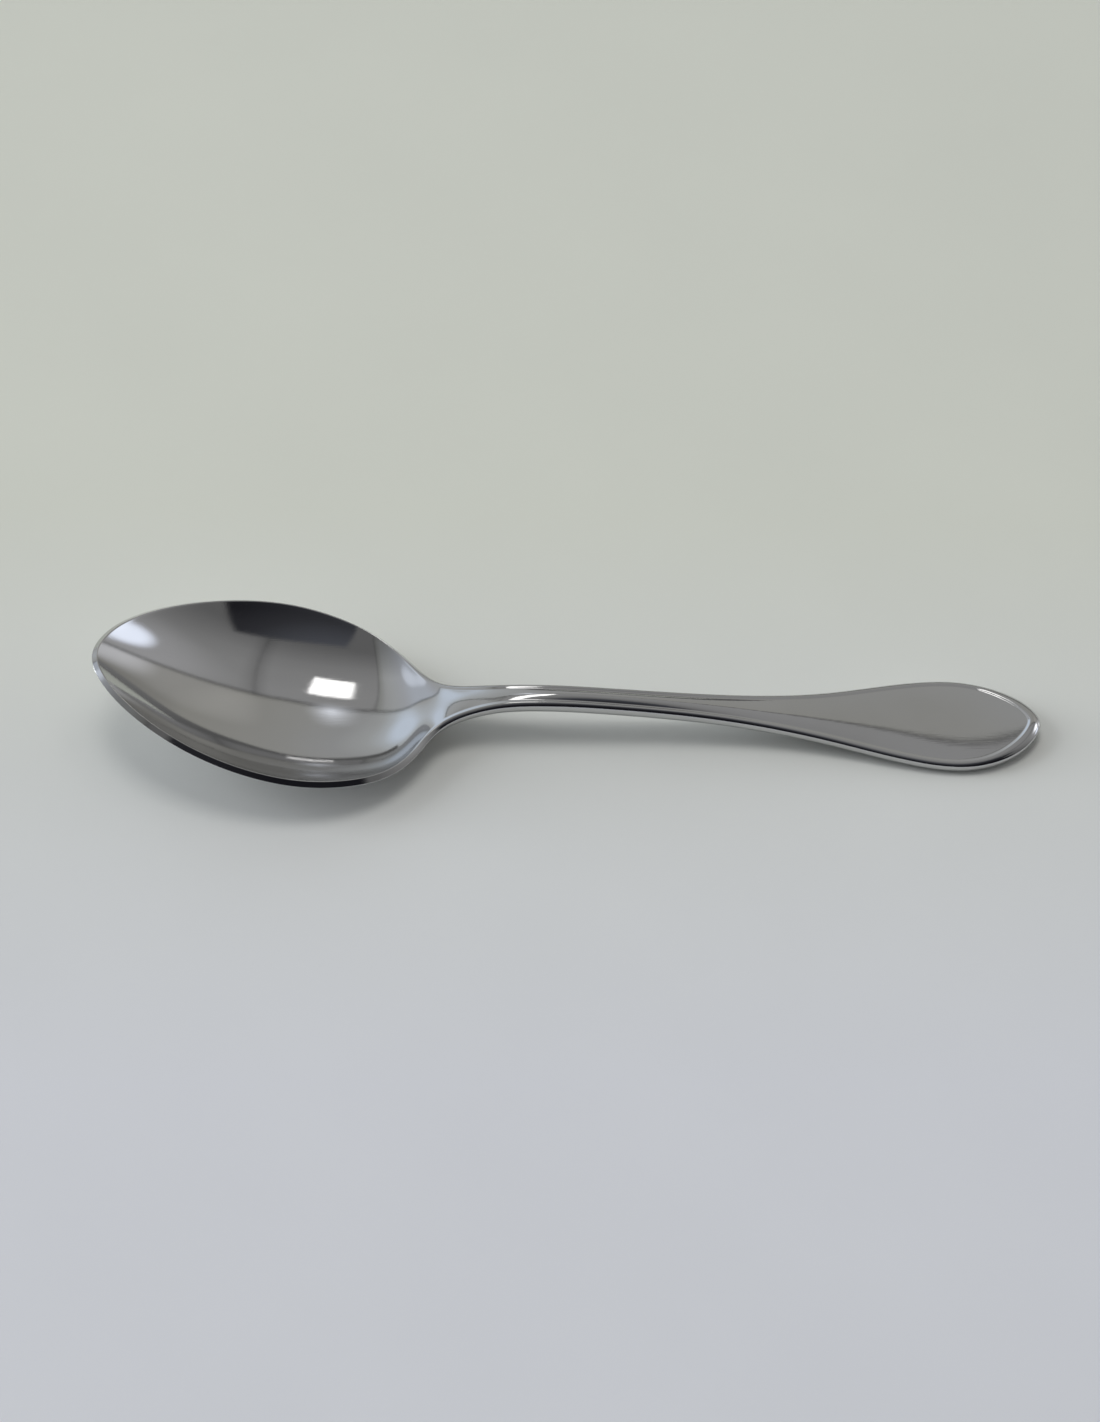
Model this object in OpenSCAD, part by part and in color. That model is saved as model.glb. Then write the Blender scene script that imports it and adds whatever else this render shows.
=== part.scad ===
// Teaspoon in polished stainless steel: one stamped blank, rolled thin at the bowl, pressed hollow and polished.
// The bowl points along -X, the handle along +X, and the spoon rests on z = 0 on its bowl and its handle's end.

/* [Spoon] */
// overall length, tip of the bowl to the end of the handle
spoon_length = 140; // [125:1:165]

/* [Bowl] */
// length of the bowl, from its tip to the start of the neck
bowl_length = 50; // [45:0.5:56]
// width across the widest part of the bowl
bowl_width = 32.5; // [28:0.5:37]
// deepest part of the hollow, below the rim
bowl_depth = 6.25; // [5.5:0.05:7.5]
// height of the rim's crest at the bowl's tip
tip_height = 15.25; // [13:0.05:16.5]
// height of the rim where it dips, just before the neck
shoulder_height = 4.45; // [4:0.05:5.5]
// height of the square-cut rim, from its crest to the underside of the wall
rim_wall = 1.6; // [1.3:0.05:2]
// width of the flat, sloping face of the rim, seen from above
rim_face = 0.6; // [0.4:0.05:0.9]

/* [Handle] */
// width across the narrowest part of the neck
neck_width = 4; // [3.6:0.1:5]
// height of the neck's top edge, at its highest
neck_height = 7.55; // [6.5:0.05:8.5]
// thickness of the neck at its edge
neck_edge = 2.4; // [2:0.05:3]
// width across the widest part of the handle
handle_width = 15.6; // [13:0.1:18]
// height of the handle's top edge where it lies lowest
end_height = 1.75; // [1.5:0.05:2.2]
// rise of the edge towards the very end of the handle
end_lift = 1.25; // [0.8:0.05:1.6]
// thickness of the handle's wide end at its edge
handle_edge = 2.15; // [1.8:0.05:2.5]
// width of the raised border at the very end of the handle
border = 2.1; // [1.7:0.05:2.5]
// depth of the groove inside the border
groove = 0.1; // [0.06:0.01:0.2]
// rise of the domed panel above the groove
crown = 0.45; // [0.2:0.01:0.6]

/* [Hidden] */

// length left for the neck and the handle
handle_length = spoon_length - bowl_length;
// stations along half the outline
stations = 100;
// steps across the hollow, the border's inner slope, the edge above, the edge below and the underside
top_steps = 8;
slope_steps = 4;
upper_steps = 3;
lower_steps = 3;
under_steps = 7;
// the end stations are read this far from the tips, where the outline has a direction
tip_gap = 0.01;
// limit of the slopes met at the edges
steep = 2;
// width of the rounding on the rim's inner corner
rim_round = 0.2;
// inset of the underside's edge on the bowl and on the handle
bowl_inset = 0.8;
handle_inset = 0.7;
// drop from the rim's crest to its outer corner
rim_drop = 0.65;
// share of the handle's thickness above its fullest line
full_line = 0.25;
// the same share at the handle's end, where the edge is rounder
end_line = 0.45;
// width of the slope from the border's crest down to the groove
border_wall = 0.5;
// rounding of the edge: 2 is a flat face, 1 is a round bead
bowl_edge_power = 2;
handle_edge_power = 1.3;
// how much higher than a parabola's the power of the bowl's sections is, which makes them fuller
fullness = 0.4;

// positions along the bowl and along the handle, given as shares of their lengths
function on_bowl(share) = share * bowl_length;
function on_handle(share) = bowl_length + share * handle_length;
function mix(a, b, share) = a + (b - a) * share;
function clip(low, high, value) = min(high, max(low, value));
function ease(low, high, value) = let (s = clip(0, 1, (value - low) / (high - low))) s * s * (3 - 2 * s);

// cubic spline through knots; flat ends have no slope, free ends no bend
function spline_rows(t, v, flat) =
    let (n = len(t) - 1, first = t[1] - t[0], last = t[n] - t[n - 1])
    [for (i = [0:n])
        i == 0 ? (flat ? [0, 2 * first, first, 6 * (v[1] - v[0]) / first] : [0, 1, 0, 0]) :
        i == n ? (flat ? [last, 2 * last, 0, -6 * (v[n] - v[n - 1]) / last] : [0, 1, 0, 0]) :
        [
            t[i] - t[i - 1],
            2 * (t[i + 1] - t[i - 1]),
            t[i + 1] - t[i],
            6 * ((v[i + 1] - v[i]) / (t[i + 1] - t[i]) - (v[i] - v[i - 1]) / (t[i] - t[i - 1]))
        ]
    ];
function sweep_down(rows, i = 0, above = [0, 0]) =
    i == len(rows) ? [] :
    let (row = rows[i], pivot = row[1] - row[0] * above[0])
    let (here = [row[2] / pivot, (row[3] - row[0] * above[1]) / pivot])
    concat([here], sweep_down(rows, i + 1, here));
function sweep_up(pairs, i, below = 0) =
    i < 0 ? [] :
    let (here = pairs[i][1] - pairs[i][0] * below)
    concat(sweep_up(pairs, i - 1, here), [here]);
function bends(t, v, flat) = let (pairs = sweep_down(spline_rows(t, v, flat))) sweep_up(pairs, len(pairs) - 1);
function spline(t, v, flat = false) = [t, v, bends(t, v, flat)];
function through(knots) = spline([for (k = knots) k[0]], [for (k = knots) k[1]]);
function span(t, q, i = 0) = i == len(t) - 2 || q < t[i + 1] ? i : span(t, q, i + 1);
function read(curve, q) =
    let (t = curve[0], v = curve[1], m = curve[2])
    let (p = clip(t[0], t[len(t) - 1], q), i = span(t, p), h = t[i + 1] - t[i])
    let (a = (t[i + 1] - p) / h, b = (p - t[i]) / h)
    a * v[i] + b * v[i + 1] + ((a * a * a - a) * m[i] + (b * b * b - b) * m[i + 1]) * h * h / 6;

// half outline seen from above: position along the spoon and half width
half_bowl = bowl_width / 2;
half_neck = neck_width / 2;
half_end = handle_width / 2;
outline = [
    [0, 0],
    [on_bowl(0.03), 0.26 * half_bowl],
    [on_bowl(0.12), 0.55 * half_bowl],
    [on_bowl(0.26), 0.8 * half_bowl],
    [on_bowl(0.42), 0.955 * half_bowl],
    [on_bowl(0.58), half_bowl],
    [on_bowl(0.72), 0.93 * half_bowl],
    [on_bowl(0.84), 0.77 * half_bowl],
    [on_bowl(0.93), 0.515 * half_bowl],
    [on_handle(0.005), 2.02 * half_neck],
    [on_handle(0.065), 1.2 * half_neck],
    [on_handle(0.155), half_neck],
    [on_handle(0.31), half_neck],
    [on_handle(0.49), 0.333 * half_end],
    [on_handle(0.645), 0.576 * half_end],
    [on_handle(0.78), 0.914 * half_end],
    [on_handle(0.88), 0.982 * half_end],
    [on_handle(0.95), 0.72 * half_end],
    [on_handle(0.99), 0.308 * half_end],
    [spoon_length, 0]
];
function run_length(points, i) = i == 0 ? 0 : run_length(points, i - 1) + norm(points[i] - points[i - 1]);
outline_run = [for (i = [0:len(outline) - 1]) run_length(outline, i)];
outline_end = outline_run[len(outline_run) - 1];
outline_x = spline(outline_run, [for (p = outline) p[0]], flat = true);
outline_w = spline(outline_run, [for (p = outline) p[1]]);
function outline_at(run) = [read(outline_x, run), read(outline_w, run)];

// height of the edge along the spoon, before it is set down on the table
rim_fall = tip_height - shoulder_height;
neck_fall = neck_height - end_height;
edge_line = through([
    [0, tip_height],
    [on_bowl(0.3), shoulder_height + 0.565 * rim_fall],
    [on_bowl(0.6), shoulder_height + 0.26 * rim_fall],
    [on_bowl(0.82), shoulder_height + 0.06 * rim_fall],
    [on_bowl(0.94), shoulder_height],
    [on_handle(0.022), mix(shoulder_height, neck_height, 0.34)],
    [on_handle(0.078), mix(shoulder_height, neck_height, 0.79)],
    [on_handle(0.145), neck_height],
    [on_handle(0.28), end_height + 0.895 * neck_fall],
    [on_handle(0.467), end_height + 0.57 * neck_fall],
    [on_handle(0.667), end_height + 0.18 * neck_fall],
    [on_handle(0.78), end_height + 0.04 * neck_fall],
    [on_handle(0.86), end_height],
    [on_handle(0.93), end_height + 0.3 * end_lift],
    [spoon_length, end_height + end_lift]
]);
// depth of the hollow below the edge on the centre line; less than none on the domed panel
hollow = through([
    [rim_face + rim_round, 0],
    [on_bowl(0.06), 0.155 * bowl_depth],
    [on_bowl(0.16), 0.455 * bowl_depth],
    [on_bowl(0.28), 0.71 * bowl_depth],
    [on_bowl(0.4), 0.89 * bowl_depth],
    [on_bowl(0.52), bowl_depth],
    [on_bowl(0.64), 0.97 * bowl_depth],
    [on_bowl(0.76), 0.805 * bowl_depth],
    [on_bowl(0.86), 0.57 * bowl_depth],
    [on_bowl(0.94), 0.28 * bowl_depth],
    [on_bowl(1), 0.03 * bowl_depth],
    [on_handle(0.06), -0.25 * crown],
    [on_handle(0.15), -0.5 * crown],
    [on_handle(0.5), -0.75 * crown],
    [on_handle(0.85), -crown],
    [spoon_length - border, 0]
]);
// depth of the underside below its own edge on the centre line
belly = through([
    [bowl_inset, 0],
    [on_bowl(0.06), 0.15 * bowl_depth],
    [on_bowl(0.16), 0.44 * bowl_depth],
    [on_bowl(0.28), 0.685 * bowl_depth],
    [on_bowl(0.4), 0.855 * bowl_depth],
    [on_bowl(0.52), 0.96 * bowl_depth],
    [on_bowl(0.64), 0.93 * bowl_depth],
    [on_bowl(0.76), 0.77 * bowl_depth],
    [on_bowl(0.86), 0.54 * bowl_depth],
    [on_bowl(0.94), 0.27 * bowl_depth],
    [on_bowl(1), 0.1 * bowl_depth],
    [on_handle(0.06), 0.2 * neck_edge],
    [on_handle(0.15), 0.25 * neck_edge],
    [on_handle(0.5), 0.2 * handle_edge],
    [on_handle(0.85), 0.08 * handle_edge],
    [spoon_length - handle_inset, 0]
]);
// thickness of the edge
edge_depth = through([
    [0, rim_wall],
    [on_bowl(0.7), rim_wall],
    [on_handle(0.1), neck_edge],
    [on_handle(0.5), 0.92 * neck_edge],
    [on_handle(0.8), 0.93 * handle_edge],
    [on_handle(0.92), handle_edge],
    [spoon_length, handle_edge]
]);
// width of the raised border along the neck and the handle
border_line = through([
    [0, 0.525 * border],
    [on_handle(0.1), 0.525 * border],
    [on_handle(0.4), 0.49 * border],
    [on_handle(0.8), 0.56 * border],
    [on_handle(0.86), 0.57 * border],
    [on_handle(0.92), 0.71 * border],
    [on_handle(0.96), 0.89 * border],
    [spoon_length, border]
]);

// the spoon is set down on the table on the lowest points of its bowl and of its handle
function underside(x) = read(edge_line, x) - read(edge_depth, x) - read(belly, x);
function lowest(places) =
    let (heights = [for (x = places) underside(x)], low = min(heights))
    [places[search(low, heights)[0]], low];
bowl_foot = lowest([for (share = [0.3:0.01:0.9]) on_bowl(share)]);
handle_foot = lowest([for (share = [0.6:0.01:1]) on_handle(share)]);
lean = (handle_foot[1] - bowl_foot[1]) / (handle_foot[0] - bowl_foot[0]);
function edge_height(x) = read(edge_line, x) - bowl_foot[1] - lean * (x - bowl_foot[0]);

// height across a section, from the edge (v = 1) to the centre line (v = 0)
function dish(depth, full, v) = -depth * (1 - pow(v, 2 + full));
// slope of that section at its edge, measured square to the outline
function edge_slope(depth, full, half_width, turn) =
    clip(-steep, steep, (2 + full) * depth / max(half_width * turn, 0.000001));

// closed half section at a place on the outline, from the top centre line round the edge to the bottom centre line
function half_section(run, at_tip) =
    let (
        here = clip(tip_gap, outline_end - tip_gap, run),
        p = outline_at(here),
        ahead = outline_at(here + tip_gap / 2) - outline_at(here - tip_gap / 2),
        inward = [ahead[1], -ahead[0]] / norm(ahead),
        turn = abs(inward[1]),
        blend = ease(on_bowl(0.84), on_bowl(1.1), p[0]),
        depth = read(edge_depth, p[0]),
        inner = mix(rim_face + rim_round, read(border_line, p[0]), blend),
        crest = mix(rim_face, read(border_line, p[0]) - border_wall, blend),
        widest = mix(full_line, end_line, ease(on_handle(0.84), on_handle(0.97), p[0])),
        drop = mix(rim_drop, widest * depth, blend),
        inset = mix(bowl_inset, handle_inset, blend),
        power = mix(bowl_edge_power, handle_edge_power, blend),
        full = fullness * ease(0, on_bowl(0.25), p[0]) * (1 - blend),
        q = p + inner * inward,
        r = p + inset * inward,
        q_hollow = read(hollow, q[0]),
        r_belly = read(belly, r[0]),
        q_slope = edge_slope(q_hollow, full, q[1], turn),
        r_slope = edge_slope(r_belly, full, r[1], turn),
        q_drop = mix(max(q_slope, 0) * rim_round / 2, groove, blend),
        corner = min(r_slope * inset - depth, -drop - 0.05),
        q_height = edge_height(q[0]) - q_drop,
        r_height = edge_height(r[0]) - depth,
        top = [for (i = [0:top_steps])
            let (v = i / top_steps)
            [q[0], q[1] * v, q_height + dish(q_hollow, full, v)]],
        slope = [for (i = [1:slope_steps])
            let (u = 1 - i / slope_steps, s = p + mix(crest, inner, u) * inward)
            let (rise = -q_drop * u * u * (3 - 2 * u) + q_slope * (inner - crest) * u * u * (1 - u))
            [s[0], s[1], edge_height(s[0]) + rise]],
        upper = [for (i = [1:upper_steps])
            let (a = 90 * i / upper_steps, s = p + crest * (1 - pow(sin(a), power)) * inward)
            [s[0], s[1], edge_height(s[0]) - drop * (1 - pow(cos(a), power))]],
        lower = [for (i = [1:lower_steps])
            let (u = i / lower_steps, s = p + inset * u * u * inward)
            [s[0], s[1], edge_height(s[0]) - drop * (1 - u) * (1 - u) + 2 * u * (1 - u) * corner - depth * u * u]],
        under = [for (i = [1:under_steps])
            let (v = 1 - i / under_steps)
            [r[0], r[1] * v, r_height + dish(r_belly, full, v)]],
        loop = concat(top, slope, upper, lower, under)
    )
    at_tip ? [for (c = loop) [c[0], 0, c[2]]] : loop;

loop_end = top_steps + slope_steps + upper_steps + lower_steps + under_steps;
sections = [for (i = [0:stations])
    half_section(outline_end * i / stations, i == 0 || i == stations)];
half_points = [for (section = sections, c = section) c];
all_points = concat(half_points, [for (c = half_points) [c[0], -c[1], c[2]]]);

// point numbers: both halves share the centre lines and the tips, where the hollow closes to one point
function at_tip(i) = i == 0 || i == stations;
function closed_step(i, j) =
    !at_tip(i) ? j :
    j <= top_steps ? 0 :
    j >= loop_end - under_steps ? loop_end : j;
function point_number(i, j, side) =
    let (k = closed_step(i, j), shared = at_tip(i) || k == 0 || k == loop_end)
    (side == 1 && !shared ? len(half_points) : 0) + i * (loop_end + 1) + k;
function distinct(face) = face[0] != face[1] && face[1] != face[2] && face[2] != face[0];
function corners(i, j, side) = [
    point_number(i, j, side),
    point_number(i, j + 1, side),
    point_number(i + 1, j + 1, side),
    point_number(i + 1, j, side)
];
all_faces = [for (i = [0:stations - 1], j = [0:loop_end - 1], side = [0, 1])
    let (c = corners(i, j, side))
    let (pair = side == 0 ? [[c[0], c[1], c[2]], [c[0], c[2], c[3]]] : [[c[0], c[2], c[1]], [c[0], c[3], c[2]]])
    for (face = pair) if (distinct(face)) face];

// the whole spoon, with nothing joined on to it
module spoon() {
    color([0.78, 0.79, 0.8])
        translate([-spoon_length / 2, 0, 0])
            polyhedron(points = all_points, faces = all_faces, convexity = 6);
}

spoon();
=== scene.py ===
"""A polished stainless-steel teaspoon lying on a pale table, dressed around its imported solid."""
import math

import bpy
import numpy as np
from mathutils import Matrix, Vector


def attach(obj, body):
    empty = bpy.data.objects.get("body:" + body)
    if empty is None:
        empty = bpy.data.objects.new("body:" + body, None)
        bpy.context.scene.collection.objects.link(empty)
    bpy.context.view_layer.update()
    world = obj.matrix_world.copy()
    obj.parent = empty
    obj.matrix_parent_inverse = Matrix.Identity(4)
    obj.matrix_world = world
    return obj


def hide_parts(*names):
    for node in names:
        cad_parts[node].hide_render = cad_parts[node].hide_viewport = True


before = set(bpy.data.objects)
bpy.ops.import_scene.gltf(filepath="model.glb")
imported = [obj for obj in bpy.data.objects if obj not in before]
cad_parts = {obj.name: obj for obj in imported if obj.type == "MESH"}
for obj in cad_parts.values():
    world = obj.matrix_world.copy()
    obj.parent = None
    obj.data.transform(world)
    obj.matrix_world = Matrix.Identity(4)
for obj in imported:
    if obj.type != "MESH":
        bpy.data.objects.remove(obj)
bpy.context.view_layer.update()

MM = 0.001

# Sizes of the spoon in millimetres, the same as the solid's.
SPOON_LENGTH = 140.0
BOWL_LENGTH = 50.0
BOWL_WIDTH = 32.5
BOWL_DEPTH = 6.25
TIP_HEIGHT = 15.25
SHOULDER_HEIGHT = 4.45
RIM_WALL = 1.6
RIM_FACE = 0.6
RIM_ROUND = 0.2
RIM_DROP = 0.65
NECK_WIDTH = 4.0
NECK_HEIGHT = 7.55
NECK_EDGE = 2.4
HANDLE_LENGTH = SPOON_LENGTH - BOWL_LENGTH
HANDLE_WIDTH = 15.6
END_HEIGHT = 1.75
END_LIFT = 1.25
HANDLE_EDGE = 2.15
BORDER = 2.1
BORDER_WALL = 0.5
GROOVE = 0.1
CROWN = 0.45
BOWL_INSET = 0.8
HANDLE_INSET = 0.7
LEAST_EDGE = 0.05
TIP_GAP = 0.01

# Shape values without a unit: the limit of the slopes met at the edges, the share of the handle's
# thickness above its fullest line along the sides and at the end, the rounding of the edges, how much
# fuller than a parabola the bowl's sections are, and the groove's depth along the sides and at the end,
# as shares of GROOVE.
STEEP = 2.0
FULL_LINE = 0.25
END_LINE = 0.45
BOWL_EDGE_POWER = 2.0
HANDLE_EDGE_POWER = 1.3
FULLNESS = 0.4
SIDE_GROOVE = 0.8
END_GROOVE = 1.25

# Fineness of the visible mesh: stations along the outline, and steps round half a section.
STATIONS = 420
TOP_STEPS = 30
SLOPE_STEPS = 7
UPPER_STEPS = 8
LOWER_STEPS = 7
UNDER_STEPS = 18

# The photograph's frame, and the camera that fits the spoon's photographed edges (degrees and metres).
FRAME_HEIGHT_PX = 1422
FOCAL_PX = 4123.5
SENSOR_MM = 36.0
CAMERA_ELEVATION = 52.62
CAMERA_AZIMUTH = -15.29
CAMERA_ROLL = 12.79
CAMERA_DISTANCE = 0.60126
CAMERA_TARGET = (-0.002735, 0.003047, 0.0)
NEAREST_SEEN = 0.01

# The stage, in metres: the table's half width, and how far from the bowl the lights and cards stand.
TABLE_HALF = 3.0
BOWL_MIDDLE = (-0.036, 0.0, 0.001)
LIGHT_DISTANCE = 3.0
LAMP_DISTANCE = 0.35
CARD_DISTANCE = 0.25
DAYLIGHT_DISTANCE = 0.19

# Colours of the lights.
LAMPLIGHT = (1.0, 0.99, 0.97)
CEILING_LIGHT = (1.0, 1.0, 0.98)
DAYLIGHT = (0.93, 0.97, 1.0)
SPREAD_DAYLIGHT = (0.95, 0.98, 1.0)

# Planes through the spoon that bound the surfaces it mirrors, each given by the direction that it faces.
CEILING_AHEAD = (-0.29, -1.7, 1.0)
CEILING_RIGHT = (0.25, -0.9, 0.35)
CEILING_JOINT = (0.81, -0.12, -0.57)
LEFT_CORNER = (-0.94, 0.26, -0.23)
WALL_FOOT = (-0.085, 0.25, -0.96)
FOOT_LEFT = (0.87, 0.25, 0.0)
VIEWER_TOP = (0.03, -0.88, -0.48)
VIEWER_RIGHT = (-0.74, -0.43, 0.52)
VIEWER_LEFT = (0.88, -0.42, -0.21)


def on_bowl(share):
    """Position along the spoon at a share of the bowl's length."""
    return share * BOWL_LENGTH


def on_handle(share):
    """Position along the spoon at a share of the handle's length."""
    return BOWL_LENGTH + share * HANDLE_LENGTH


def mix(a, b, share):
    return a + (b - a) * share


def ease(low, high, value):
    """Smooth step from 0 at low to 1 at high."""
    s = np.clip((value - low) / (high - low), 0.0, 1.0)
    return s * s * (3.0 - 2.0 * s)


class Spline:
    """Cubic spline through knots; flat ends have no slope, free ends no bend."""

    def __init__(self, t, v, flat=False):
        self.t = np.asarray(t, float)
        self.v = np.asarray(v, float)
        h = np.diff(self.t)
        rise = np.diff(self.v) / h
        n = len(self.t)
        rows = np.zeros((n, n))
        right = np.zeros(n)
        for i in range(1, n - 1):
            rows[i, i - 1:i + 2] = h[i - 1], 2.0 * (h[i - 1] + h[i]), h[i]
            right[i] = 6.0 * (rise[i] - rise[i - 1])
        if flat:
            rows[0, :2] = 2.0 * h[0], h[0]
            right[0] = 6.0 * rise[0]
            rows[-1, -2:] = h[-1], 2.0 * h[-1]
            right[-1] = -6.0 * rise[-1]
        else:
            rows[0, 0] = rows[-1, -1] = 1.0
        self.m = np.linalg.solve(rows, right)

    def __call__(self, q):
        t, v, m = self.t, self.v, self.m
        p = np.clip(q, t[0], t[-1])
        i = np.clip(np.searchsorted(t, p, side="right") - 1, 0, len(t) - 2)
        h = t[i + 1] - t[i]
        a = (t[i + 1] - p) / h
        b = (p - t[i]) / h
        bend = (a**3 - a) * m[i] + (b**3 - b) * m[i + 1]
        return a * v[i] + b * v[i + 1] + bend * h * h / 6.0


def through(*knots):
    """Spline through pairs of a position along the spoon and a value in millimetres."""
    return Spline([k[0] for k in knots], [k[1] for k in knots])


# Half outline seen from above: position along the spoon and half width.
HALF_BOWL = BOWL_WIDTH / 2
HALF_NECK = NECK_WIDTH / 2
HALF_END = HANDLE_WIDTH / 2
OUTLINE = np.array([
    (0, 0),
    (on_bowl(0.03), 0.26 * HALF_BOWL),
    (on_bowl(0.12), 0.55 * HALF_BOWL),
    (on_bowl(0.26), 0.8 * HALF_BOWL),
    (on_bowl(0.42), 0.955 * HALF_BOWL),
    (on_bowl(0.58), HALF_BOWL),
    (on_bowl(0.72), 0.93 * HALF_BOWL),
    (on_bowl(0.84), 0.77 * HALF_BOWL),
    (on_bowl(0.93), 0.515 * HALF_BOWL),
    (on_handle(0.005), 2.02 * HALF_NECK),
    (on_handle(0.065), 1.2 * HALF_NECK),
    (on_handle(0.155), HALF_NECK),
    (on_handle(0.31), HALF_NECK),
    (on_handle(0.49), 0.333 * HALF_END),
    (on_handle(0.645), 0.576 * HALF_END),
    (on_handle(0.78), 0.914 * HALF_END),
    (on_handle(0.88), 0.982 * HALF_END),
    (on_handle(0.95), 0.72 * HALF_END),
    (on_handle(0.99), 0.308 * HALF_END),
    (SPOON_LENGTH, 0),
])

# Height of the edge's crest, before the spoon is stood on the table.
RIM_FALL = TIP_HEIGHT - SHOULDER_HEIGHT
NECK_FALL = NECK_HEIGHT - END_HEIGHT
EDGE_LINE = through(
    (0, TIP_HEIGHT),
    (on_bowl(0.3), SHOULDER_HEIGHT + 0.565 * RIM_FALL),
    (on_bowl(0.6), SHOULDER_HEIGHT + 0.26 * RIM_FALL),
    (on_bowl(0.82), SHOULDER_HEIGHT + 0.06 * RIM_FALL),
    (on_bowl(0.94), SHOULDER_HEIGHT),
    (on_handle(0.022), mix(SHOULDER_HEIGHT, NECK_HEIGHT, 0.34)),
    (on_handle(0.078), mix(SHOULDER_HEIGHT, NECK_HEIGHT, 0.79)),
    (on_handle(0.145), NECK_HEIGHT),
    (on_handle(0.28), END_HEIGHT + 0.895 * NECK_FALL),
    (on_handle(0.467), END_HEIGHT + 0.57 * NECK_FALL),
    (on_handle(0.667), END_HEIGHT + 0.18 * NECK_FALL),
    (on_handle(0.78), END_HEIGHT + 0.04 * NECK_FALL),
    (on_handle(0.86), END_HEIGHT),
    (on_handle(0.93), END_HEIGHT + 0.3 * END_LIFT),
    (SPOON_LENGTH, END_HEIGHT + END_LIFT),
)

# Depth of the hollow along the centre line; below zero it is the rise of the handle's panel.
HOLLOW = through(
    (RIM_FACE + RIM_ROUND, 0),
    (on_bowl(0.06), 0.155 * BOWL_DEPTH),
    (on_bowl(0.16), 0.455 * BOWL_DEPTH),
    (on_bowl(0.28), 0.71 * BOWL_DEPTH),
    (on_bowl(0.4), 0.89 * BOWL_DEPTH),
    (on_bowl(0.52), BOWL_DEPTH),
    (on_bowl(0.64), 0.97 * BOWL_DEPTH),
    (on_bowl(0.76), 0.805 * BOWL_DEPTH),
    (on_bowl(0.86), 0.57 * BOWL_DEPTH),
    (on_bowl(0.94), 0.28 * BOWL_DEPTH),
    (on_bowl(1), 0.03 * BOWL_DEPTH),
    (on_handle(0.06), -0.25 * CROWN),
    (on_handle(0.15), -0.5 * CROWN),
    (on_handle(0.5), -0.75 * CROWN),
    (on_handle(0.85), -CROWN),
    (SPOON_LENGTH - BORDER, 0),
)

# Depth of the underside's centre line below its edge.
BELLY = through(
    (BOWL_INSET, 0),
    (on_bowl(0.06), 0.15 * BOWL_DEPTH),
    (on_bowl(0.16), 0.44 * BOWL_DEPTH),
    (on_bowl(0.28), 0.685 * BOWL_DEPTH),
    (on_bowl(0.4), 0.855 * BOWL_DEPTH),
    (on_bowl(0.52), 0.96 * BOWL_DEPTH),
    (on_bowl(0.64), 0.93 * BOWL_DEPTH),
    (on_bowl(0.76), 0.77 * BOWL_DEPTH),
    (on_bowl(0.86), 0.54 * BOWL_DEPTH),
    (on_bowl(0.94), 0.27 * BOWL_DEPTH),
    (on_bowl(1), 0.1 * BOWL_DEPTH),
    (on_handle(0.06), 0.2 * NECK_EDGE),
    (on_handle(0.15), 0.25 * NECK_EDGE),
    (on_handle(0.5), 0.2 * HANDLE_EDGE),
    (on_handle(0.85), 0.08 * HANDLE_EDGE),
    (SPOON_LENGTH - HANDLE_INSET, 0),
)

# Thickness at the edge.
EDGE_DEPTH = through(
    (0, RIM_WALL),
    (on_bowl(0.7), RIM_WALL),
    (on_handle(0.1), NECK_EDGE),
    (on_handle(0.5), 0.92 * NECK_EDGE),
    (on_handle(0.8), 0.93 * HANDLE_EDGE),
    (on_handle(0.92), HANDLE_EDGE),
    (SPOON_LENGTH, HANDLE_EDGE),
)

# Width of the raised border, down to the groove.
BORDER_LINE = through(
    (0, 0.525 * BORDER),
    (on_handle(0.1), 0.525 * BORDER),
    (on_handle(0.4), 0.49 * BORDER),
    (on_handle(0.8), 0.56 * BORDER),
    (on_handle(0.86), 0.57 * BORDER),
    (on_handle(0.92), 0.71 * BORDER),
    (on_handle(0.96), 0.89 * BORDER),
    (SPOON_LENGTH, BORDER),
)

# Where the bowl's sections reach their fullness, where the bowl's rim turns into the handle's border, and
# where the edge and the groove turn into those of the handle's end.
FULL_FROM = on_bowl(0.25)
BORDER_STARTS = on_bowl(0.84)
BORDER_REACHED = on_bowl(1.1)
END_STARTS = on_handle(0.84)
END_EDGE_REACHED = on_handle(0.97)
END_GROOVE_REACHED = on_handle(0.95)


def resting_line():
    """Edge height along the spoon once it stands on the lowest points of its bowl and handle."""
    def lowest(places):
        heights = EDGE_LINE(places) - EDGE_DEPTH(places) - BELLY(places)
        i = int(np.argmin(heights))
        return places[i], heights[i]

    bowl = lowest(on_bowl(np.linspace(0.3, 0.9, 61)))
    handle = lowest(on_handle(np.linspace(0.6, 1.0, 41)))
    lean = (handle[1] - bowl[1]) / (handle[0] - bowl[0])
    return lambda x: EDGE_LINE(x) - bowl[1] - lean * (x - bowl[0])


def dish(depth, full, v):
    """Height across a section, from its edge (v = 1) to the centre line (v = 0)."""
    return -depth[:, None] * (1 - v**(2 + full[:, None]))


def edge_slope(depth, full, half_width, turn):
    """Slope with which a dished section meets its edge."""
    return np.clip((2 + full) * depth / np.maximum(half_width * turn, 1e-6), -STEEP, STEEP)


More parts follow.
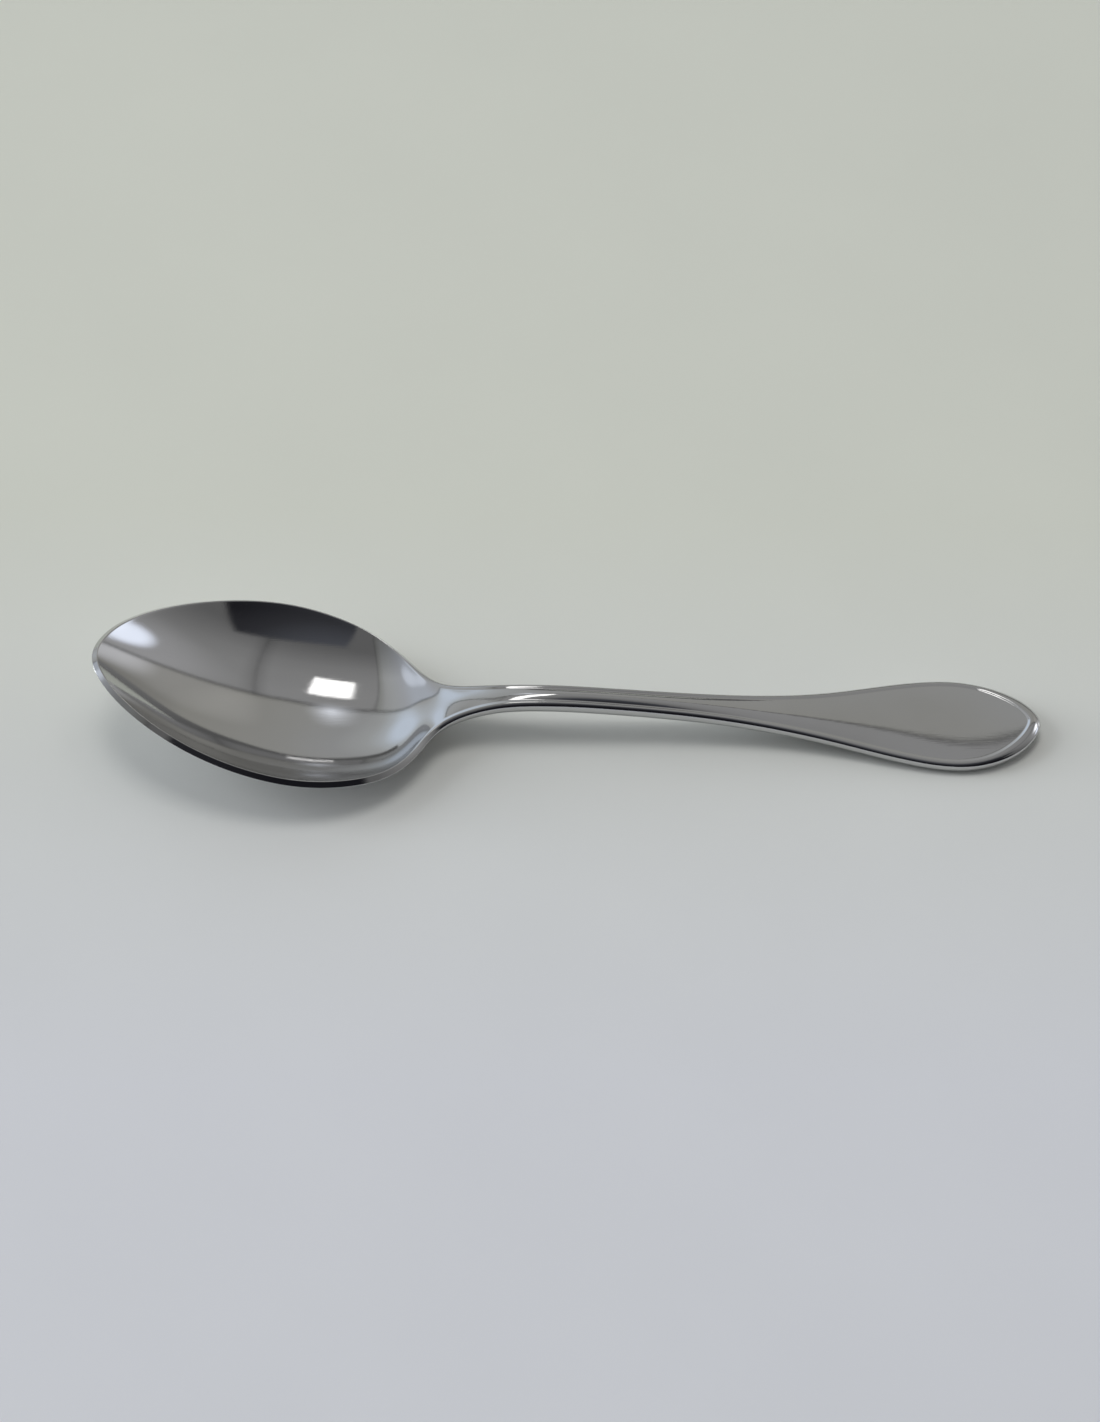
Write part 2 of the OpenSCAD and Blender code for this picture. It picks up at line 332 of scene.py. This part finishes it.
def half_sections():
    """Grid [station, step, xyz] of the +y half, from the top centre line round the edge to the bottom."""
    run = np.concatenate([[0], np.cumsum(np.hypot(*np.diff(OUTLINE, axis=0).T))])
    outline_x = Spline(run, OUTLINE[:, 0], flat=True)
    outline_w = Spline(run, OUTLINE[:, 1])
    edge_height = resting_line()

    def outline_at(q):
        return np.stack([outline_x(q), outline_w(q)], -1)

    here = np.clip(np.linspace(0, run[-1], STATIONS + 1), TIP_GAP, run[-1] - TIP_GAP)
    p = outline_at(here)
    ahead = outline_at(here + TIP_GAP / 2) - outline_at(here - TIP_GAP / 2)
    inward = np.stack([ahead[:, 1], -ahead[:, 0]], -1) / np.linalg.norm(ahead, axis=1)[:, None]
    turn = np.abs(inward[:, 1])
    x = p[:, 0]
    blend = ease(BORDER_STARTS, BORDER_REACHED, x)
    depth = EDGE_DEPTH(x)
    inner = mix(RIM_FACE + RIM_ROUND, BORDER_LINE(x), blend)
    crest = mix(RIM_FACE, BORDER_LINE(x) - BORDER_WALL, blend)
    widest = mix(FULL_LINE, END_LINE, ease(END_STARTS, END_EDGE_REACHED, x))
    drop = mix(RIM_DROP, widest * depth, blend)
    inset = mix(BOWL_INSET, HANDLE_INSET, blend)
    power = mix(BOWL_EDGE_POWER, HANDLE_EDGE_POWER, blend)[:, None]
    full = FULLNESS * ease(0, FULL_FROM, x) * (1 - blend)
    q = p + inner[:, None] * inward
    r = p + inset[:, None] * inward
    q_hollow = HOLLOW(q[:, 0])
    r_belly = BELLY(r[:, 0])
    q_slope = edge_slope(q_hollow, full, q[:, 1], turn)
    r_slope = edge_slope(r_belly, full, r[:, 1], turn)
    groove = GROOVE * mix(SIDE_GROOVE, END_GROOVE, ease(END_STARTS, END_GROOVE_REACHED, x))
    q_drop = mix(np.maximum(q_slope, 0) * RIM_ROUND / 2, groove, blend)
    corner = np.minimum(r_slope * inset - depth, -drop - LEAST_EDGE)[:, None]

    def across(base, height, v):
        rows = np.ones_like(v)
        return np.stack([base[:, :1] * rows, base[:, 1:] * v, height], -1)

    def round_edge(offset, rise):
        at = p[:, None, :] + offset[..., None] * inward[:, None, :]
        return np.concatenate([at, (edge_height(at[..., 0]) + rise)[..., None]], -1)

    v = np.linspace(0, 1, TOP_STEPS + 1)[None]
    top = across(q, (edge_height(q[:, 0]) - q_drop)[:, None] + dish(q_hollow, full, v), v)
    u = np.linspace(1, 0, SLOPE_STEPS + 1)[None, 1:]
    width = (inner - crest)[:, None]
    rise = -q_drop[:, None] * u**2 * (3 - 2 * u) + q_slope[:, None] * width * u**2 * (1 - u)
    slope = round_edge(crest[:, None] + width * u, rise)
    a = np.linspace(0, math.pi / 2, UPPER_STEPS + 1)[None, 1:]
    cosine = np.clip(np.cos(a), 0, 1)
    upper = round_edge(crest[:, None] * (1 - np.sin(a)**power), -drop[:, None] * (1 - cosine**power))
    u = np.linspace(0, 1, LOWER_STEPS + 1)[None, 1:]
    rise = -drop[:, None] * (1 - u)**2 + 2 * u * (1 - u) * corner - depth[:, None] * u**2
    lower = round_edge(inset[:, None] * u**2, rise)
    v = np.linspace(1, 0, UNDER_STEPS + 1)[None, 1:]
    under = across(r, (edge_height(r[:, 0]) - depth)[:, None] + dish(r_belly, full, v), v)
    grid = np.concatenate([top, slope, upper, lower, under], 1)
    grid[[0, -1], :, 1] = 0
    grid[..., 0] -= SPOON_LENGTH / 2
    return grid * MM


def add_object(name, data):
    """New object in the scene."""
    thing = bpy.data.objects.new(name, data)
    bpy.context.scene.collection.objects.link(thing)
    return thing


def add_square(name, half, material):
    """Flat square about the origin, facing up."""
    corners = [(x * half, y * half, 0) for x, y in ((-1, -1), (1, -1), (1, 1), (-1, 1))]
    mesh = bpy.data.meshes.new(name)
    mesh.from_pydata(corners, [], [(0, 1, 2, 3)])
    mesh.materials.append(material)
    return add_object(name, mesh)


def make_spoon(material):
    """The smooth shell; both halves share the centre lines and the tips."""
    grid = half_sections()
    stations, steps = grid.shape[:2]
    last = steps - 1
    points = []
    number = {}

    def point(i, j, side):
        tip = i in (0, stations - 1)
        if tip and j <= TOP_STEPS:
            j = 0
        elif tip and j >= last - UNDER_STEPS:
            j = last
        if tip or j in (0, last):
            side = 1
        key = (i, j, side)
        if key not in number:
            number[key] = len(points)
            x, y, z = grid[i, j]
            points.append((x, y * side, z))
        return number[key]

    faces = []
    for i in range(stations - 1):
        for j in range(last):
            for side in (1, -1):
                loop = [point(i + di, j + dj, side) for di, dj in ((0, 0), (1, 0), (1, 1), (0, 1))]
                ring = [n for k, n in enumerate(loop) if n != loop[k - 1]]
                if len(set(ring)) > 2:
                    faces.append(ring if side == 1 else ring[::-1])
    mesh = bpy.data.meshes.new("spoon_shell")
    mesh.from_pydata(points, [], faces)
    mesh.update()
    mesh.polygons.foreach_set("use_smooth", [True] * len(mesh.polygons))
    mesh.materials.append(material)
    piece = add_object("spoon_shell", mesh)
    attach(piece, "root")
    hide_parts("spoon")


def grey(level):
    return (level, level, level)


class Tree:
    """Node tree of a material or of the world, with short ways to add the nodes used here."""

    def __init__(self, owner):
        owner.use_nodes = True
        self.nodes = owner.node_tree.nodes
        self.links = owner.node_tree.links

    def feed(self, node, inputs):
        """Link the inputs that get another node's output, and set the others."""
        for name, value in inputs.items():
            if isinstance(value, bpy.types.NodeSocket):
                self.links.new(value, node.inputs[name])
            else:
                node.inputs[name].default_value = value

    def add(self, kind, inputs):
        """New node with some of its inputs linked or set."""
        node = self.nodes.new(kind)
        self.feed(node, inputs)
        return node

    def coordinates(self, kind):
        return self.nodes.new("ShaderNodeTexCoord").outputs[kind]

    def noise(self, vector, scale, detail):
        inputs = {"Vector": vector, "Scale": scale, "Detail": detail}
        return self.add("ShaderNodeTexNoise", inputs).outputs["Fac"]

    def spread(self, value, low, high, to_low=0.0, to_high=1.0, kind="LINEAR"):
        """Value from between two limits, mapped to between two others."""
        node = self.nodes.new("ShaderNodeMapRange")
        node.interpolation_type = kind
        limits = {"From Min": low, "From Max": high, "To Min": to_low, "To Max": to_high}
        self.feed(node, {"Value": value, **limits})
        return node.outputs["Result"]

    def ramp(self, value, stops):
        """Colours at places from 0 to 1 along a value."""
        node = self.add("ShaderNodeValToRGB", {"Fac": value})
        elements = node.color_ramp.elements
        for i, (at, colour) in enumerate(stops):
            stop = elements[i] if i < 2 else elements.new(1.0)
            stop.position = at
            stop.color = (*colour, 1)
        return node.outputs["Color"]

    def blend(self, kind, share, under, over):
        """Two colours put together in one of the ways of the Mix node."""
        node = self.nodes.new("ShaderNodeMix")
        node.data_type = "RGBA"
        node.blend_type = kind
        self.feed(node, {"Factor": share, "A": under, "B": over})
        return node.outputs["Result"]


def new_material(name):
    material = bpy.data.materials.new(name)
    return material, Tree(material)


def steel_material():
    """Mirror-polished stainless steel with fine polishing lines along the spoon and a faint cloud."""
    material, tree = new_material("polished_steel")
    place = tree.coordinates("Object")
    cloud = tree.noise(place, scale=60.0, detail=3.0)
    tint = tree.ramp(cloud, ((0.3, grey(0.545)), (0.7, (0.58, 0.58, 0.585))))
    stretch = tree.add("ShaderNodeMapping", {"Vector": place, "Scale": (200.0, 9000.0, 9000.0)})
    lines = tree.noise(stretch.outputs["Vector"], scale=1.0, detail=3.0)
    gloss = tree.spread(lines, 0.5, 0.8, to_low=0.045, to_high=0.16, kind="SMOOTHSTEP")
    wave = tree.add("ShaderNodeBump", {"Height": lines, "Strength": 0.03, "Distance": 0.0001})
    tree.feed(tree.nodes["Principled BSDF"], {
        "Metallic": 1.0,
        "Base Color": tint,
        "Roughness": gloss,
        "Normal": wave.outputs["Normal"],
    })
    return material


def table_material():
    """Pale matt table top with a faint mottle, and painted light that makes it slowly warmer and darker
    away from the viewer.
    """
    material, tree = new_material("pale_table")
    place = tree.coordinates("Object")
    cloud = tree.noise(place, scale=30.0, detail=4.0)
    mottle = tree.ramp(cloud, ((0.0, (0.75, 0.755, 0.79)), (1.0, (0.79, 0.795, 0.83))))
    axes = tree.add("ShaderNodeSeparateXYZ", {"Vector": place})
    away = tree.spread(axes.outputs["Y"], -0.06, 0.04)
    # Painted light: the colour is multiplied towards a warmer, darker tint on the far side, standing in
    # for how the light falls across the table.
    painted_light_tint = tree.ramp(away, ((0.0, grey(1.0)), (1.0, (0.965, 0.97, 0.83))))
    tree.feed(tree.nodes["Principled BSDF"], {
        "Base Color": tree.blend("MULTIPLY", 1.0, mottle, painted_light_tint),
        "Roughness": 0.8,
        "Specular IOR Level": 0.2,
    })
    return material


def make_table():
    table = add_square("table", TABLE_HALF, table_material())


def direction(azimuth, elevation):
    """Unit vector; azimuth 0 is the viewer's side (-Y), 90 the handle's side (+X)."""
    a, e = math.radians(azimuth), math.radians(elevation)
    return Vector((math.sin(a) * math.cos(e), -math.cos(a) * math.cos(e), math.sin(e)))


def placed(place, back, up=(0, 0, 1), roll=0.0):
    """Matrix of something at a place that looks away from back, its top towards up and then rolled."""
    right = Vector(up).cross(back).normalized()
    over = back.cross(right)
    side = right * math.cos(roll) + over * math.sin(roll)
    top = over * math.cos(roll) - right * math.sin(roll)
    return Matrix((
        (side.x, top.x, back.x, place.x),
        (side.y, top.y, back.y, place.y),
        (side.z, top.z, back.z, place.z),
        (0, 0, 0, 1),
    ))


def from_bowl(towards, distance):
    """Place that lies in a direction from the middle of the bowl."""
    return Vector(BOWL_MIDDLE) + towards * distance


def make_camera():
    back = direction(CAMERA_AZIMUTH, CAMERA_ELEVATION)
    place = Vector(CAMERA_TARGET) + back * CAMERA_DISTANCE
    lens = bpy.data.cameras.new("camera")
    lens.sensor_fit = "VERTICAL"
    lens.sensor_height = SENSOR_MM
    lens.lens = FOCAL_PX / FRAME_HEIGHT_PX * SENSOR_MM
    lens.clip_start = NEAREST_SEEN
    camera = add_object("camera", lens)
    camera.matrix_world = placed(place, back, roll=math.radians(CAMERA_ROLL))
    bpy.context.scene.camera = camera


def softbox(name, towards, width, height, radiance, colour,
            mirrored=False, up=(0, 0, 1), distance=LIGHT_DISTANCE):
    """Rectangular light seen from the bowl in a direction, width and height in degrees."""
    light = bpy.data.lights.new(name, "AREA")
    light.shape = "RECTANGLE"
    light.size = 2 * distance * math.tan(math.radians(width) / 2)
    light.size_y = 2 * distance * math.tan(math.radians(height) / 2)
    light.energy = radiance * math.pi * light.size * light.size_y
    light.color = colour
    lamp = add_object(name, light)
    lamp.matrix_world = placed(from_bowl(towards, distance), towards, up)
    lamp.visible_camera = False
    lamp.visible_glossy = mirrored


def make_lights():
    """A lamp overhead and a window on the left; the fills stand for the light that these spread."""
    softbox("ceiling_lamp", direction(145, 76), 12.5, 16, 1.9, LAMPLIGHT,
            mirrored=True, up=(0.2, 1, 0), distance=LAMP_DISTANCE)
    softbox("window_left", direction(-98, 8), 16, 14, 13.0, DAYLIGHT, mirrored=True)
    softbox("overhead_fill", direction(-130, 80), 18, 18, 5.6, CEILING_LIGHT)
    softbox("left_fill", direction(-98, 29), 16, 28, 6.2, DAYLIGHT)
    softbox("left_spread", direction(-75, 20), 26, 36, 0.6, SPREAD_DAYLIGHT)
    softbox("right_spread", direction(85, 10), 24, 18, 0.5, SPREAD_DAYLIGHT)


def soft_card(name, towards, radius, distance, colour):
    """Small card in a direction from the bowl, that only shows in reflections and fades to its edge."""
    material, tree = new_material(name)
    fade = tree.add("ShaderNodeTexGradient", {"Vector": tree.coordinates("Object")})
    fade.gradient_type = "QUADRATIC_SPHERE"
    glow = tree.add("ShaderNodeEmission", {"Color": (*colour, 1)})
    clear = tree.nodes.new("ShaderNodeBsdfTransparent")
    shader = tree.add("ShaderNodeMixShader", {
        "Fac": fade.outputs["Fac"],
        1: clear.outputs["BSDF"],
        2: glow.outputs["Emission"],
    })
    tree.feed(tree.nodes["Material Output"], {"Surface": shader.outputs["Shader"]})
    card = add_square(name, 1, material)
    half = distance * math.tan(math.radians(radius))
    card.matrix_world = placed(from_bowl(towards, distance), towards) @ Matrix.Scale(half, 4)
    card.visible_camera = False
    card.visible_diffuse = False
    card.visible_shadow = False


def make_cards():
    """The lamp's faint second image in the bowl, and daylight beyond the end of the handle."""
    soft_card("lamp_glow", direction(164, 56.5), 8, CARD_DISTANCE, (1.25, 1.3, 1.4))
    soft_card("end_daylight", direction(97, 17), 8, DAYLIGHT_DISTANCE, (4.0, 4.1, 4.3))


class Room(Tree):
    """Plain room seen from the spoon, as shades of the direction looked in."""

    def __init__(self):
        world = bpy.data.worlds.new("room")
        bpy.context.scene.world = world
        super().__init__(world)
        self.look = self.coordinates("Generated")

    def along(self, axis):
        """How far the look direction points along an axis."""
        node = self.add("ShaderNodeVectorMath", {0: self.look, 1: Vector(axis).normalized()})
        node.operation = "DOT_PRODUCT"
        return node.outputs["Value"]

    def cap(self, towards, inner, outer):
        """Share of a round patch about a direction, full inside one angle and gone outside the other."""
        rim = math.cos(math.radians(outer))
        core = math.cos(math.radians(inner))
        return self.spread(self.along(towards), rim, core, kind="SMOOTHSTEP")

    def join(self, operation, first, second, soft=0.0):
        """Two values put together in one of the ways of the Math node."""
        node = self.add("ShaderNodeMath", {0: first, 1: second, 2: soft})
        node.operation = operation
        return node.outputs["Value"]

    def shades(self, value, stops):
        """Colours along a value from -1 to 1."""
        places = [(0.5 + 0.5 * at, colour) for at, colour in stops]
        return self.ramp(self.spread(value, -1.0, 1.0), places)

    def past(self, value, start, stop):
        """Share that turns from 0 to 1 between two levels of a value."""
        return self.shades(value, ((start, grey(0.0)), (stop, grey(1.0))))

    def add_patch(self, under, patch, colour):
        """Light added to a surface where a patch lies."""
        return self.blend("ADD", patch, under, (*colour, 1))


def far_wall(room):
    """Pale wall, bluer to the left, with daylight on its right and a dark strip at its foot."""
    wall = room.shades(room.along(direction(-150, 30)), (
        (0.0, (0.27, 0.265, 0.25)),
        (0.33, (0.285, 0.28, 0.26)),
        (0.42, (0.34, 0.335, 0.31)),
        (0.7, (0.36, 0.36, 0.345)),
        (0.83, (0.385, 0.39, 0.39)),
        (0.9, (0.46, 0.475, 0.475)),
        (0.945, (0.56, 0.6, 0.63)),
        (0.985, (0.73, 0.82, 0.94)),
    ))
    wall = room.add_patch(wall, room.cap(direction(122, 28), 2, 20), grey(0.1))
    wall = room.add_patch(wall, room.cap(direction(113, 9), 2, 17), (0.36, 0.37, 0.4))
    foot = room.past(room.join("MINIMUM", room.along(WALL_FOOT), room.along(FOOT_LEFT)), -0.01, 0.02)
    strip = room.shades(room.along((1, 0, 0)), ((0.5, grey(0.115)), (0.85, grey(0.25))))
    wall = room.blend("MIX", foot, wall, strip)
    return room.add_patch(wall, room.cap(direction(110, 3), 4, 9), (1.2, 1.25, 1.3))


def ceiling_and_sides(room):
    """Ceiling that darkens towards the viewer, a joint across it, and the brighter side on the left."""
    ahead = room.along((0, 1, 0))
    right = room.shades(ahead, (
        (-0.45, grey(0.15)), (-0.33, grey(0.2)), (-0.17, grey(0.265)),
        (0.0, grey(0.3)), (0.15, grey(0.31)), (0.3, grey(0.325)),
    ))
    joint = room.shades(room.along(CEILING_JOINT), (
        (-0.09, grey(1.0)), (-0.015, grey(0.8)), (-0.006, grey(0.62)),
        (0.006, grey(0.62)), (0.015, grey(0.8)), (0.08, grey(1.0)),
    ))
    right = room.blend("MULTIPLY", 1.0, right, joint)
    right = room.add_patch(right, room.cap(direction(104, 22), 6, 26), (0.09, 0.09, 0.095))
    right = room.add_patch(right, room.cap(direction(97, 17), 4, 10), (0.8, 0.88, 1.05))

    leftward = room.along(LEFT_CORNER)
    left = room.shades(leftward, (
        (0.0, (0.3, 0.305, 0.3)),
        (0.04, (0.34, 0.345, 0.335)),
        (0.12, (0.43, 0.44, 0.44)),
        (0.25, (0.46, 0.475, 0.48)),
        (0.5, (0.48, 0.5, 0.53)),
        (0.7, (0.53, 0.57, 0.63)),
    ))
    near = room.shades(ahead, ((-0.5, grey(0.5)), (-0.3, grey(0.72)), (-0.08, grey(1.0))))
    left = room.blend("MULTIPLY", 1.0, left, near)
    left = room.add_patch(left, room.cap(direction(-86, 31), 3, 11), (0.24, 0.26, 0.3))

    light = room.blend("MIX", room.past(leftward, -0.01, 0.01), right, left)
    corner = room.shades(leftward, (
        (-0.02, grey(1.0)), (-0.006, grey(0.75)), (0.006, grey(0.75)), (0.02, grey(1.0)),
    ))
    return room.blend("MULTIPLY", 1.0, light, corner)


def make_world():
    """Pale far wall under a darker ceiling, a bright left side, and a dark side behind the viewer."""
    room = Room()
    edge = room.join("SMOOTH_MAX", room.along(CEILING_AHEAD), room.along(CEILING_RIGHT), soft=0.06)
    overhead = room.past(edge, -0.012, 0.006)
    light = room.blend("MIX", overhead, far_wall(room), ceiling_and_sides(room))
    seam = room.shades(edge, (
        (-0.035, grey(1.0)), (-0.009, grey(0.5)), (0.01, grey(0.5)), (0.03, grey(1.0)),
    ))
    light = room.blend("MULTIPLY", 1.0, light, seam)

    sides = room.join("MINIMUM", room.along(VIEWER_RIGHT), room.along(VIEWER_LEFT))
    dark = room.past(room.join("MINIMUM", room.along(VIEWER_TOP), sides), -0.01, 0.02)
    dark = room.join("MAXIMUM", dark, room.cap(direction(44, 17), 9, 13))
    viewer = room.shades(room.along((0, 0, 1)), (
        (0.5, (0.012, 0.012, 0.015)), (0.7, (0.04, 0.041, 0.047)), (0.87, (0.09, 0.095, 0.11)),
    ))
    light = room.blend("MIX", dark, light, viewer)

    seen = room.nodes.new("ShaderNodeLightPath").outputs["Is Camera Ray"]
    light = room.blend("MIX", seen, light, (0.6, 0.61, 0.6, 1))
    room.feed(room.nodes["Background"], {"Color": light, "Strength": 1.1})


make_camera()
make_spoon(steel_material())
make_table()
make_lights()
make_cards()
make_world()
bpy.context.scene.view_settings.view_transform = "Standard"
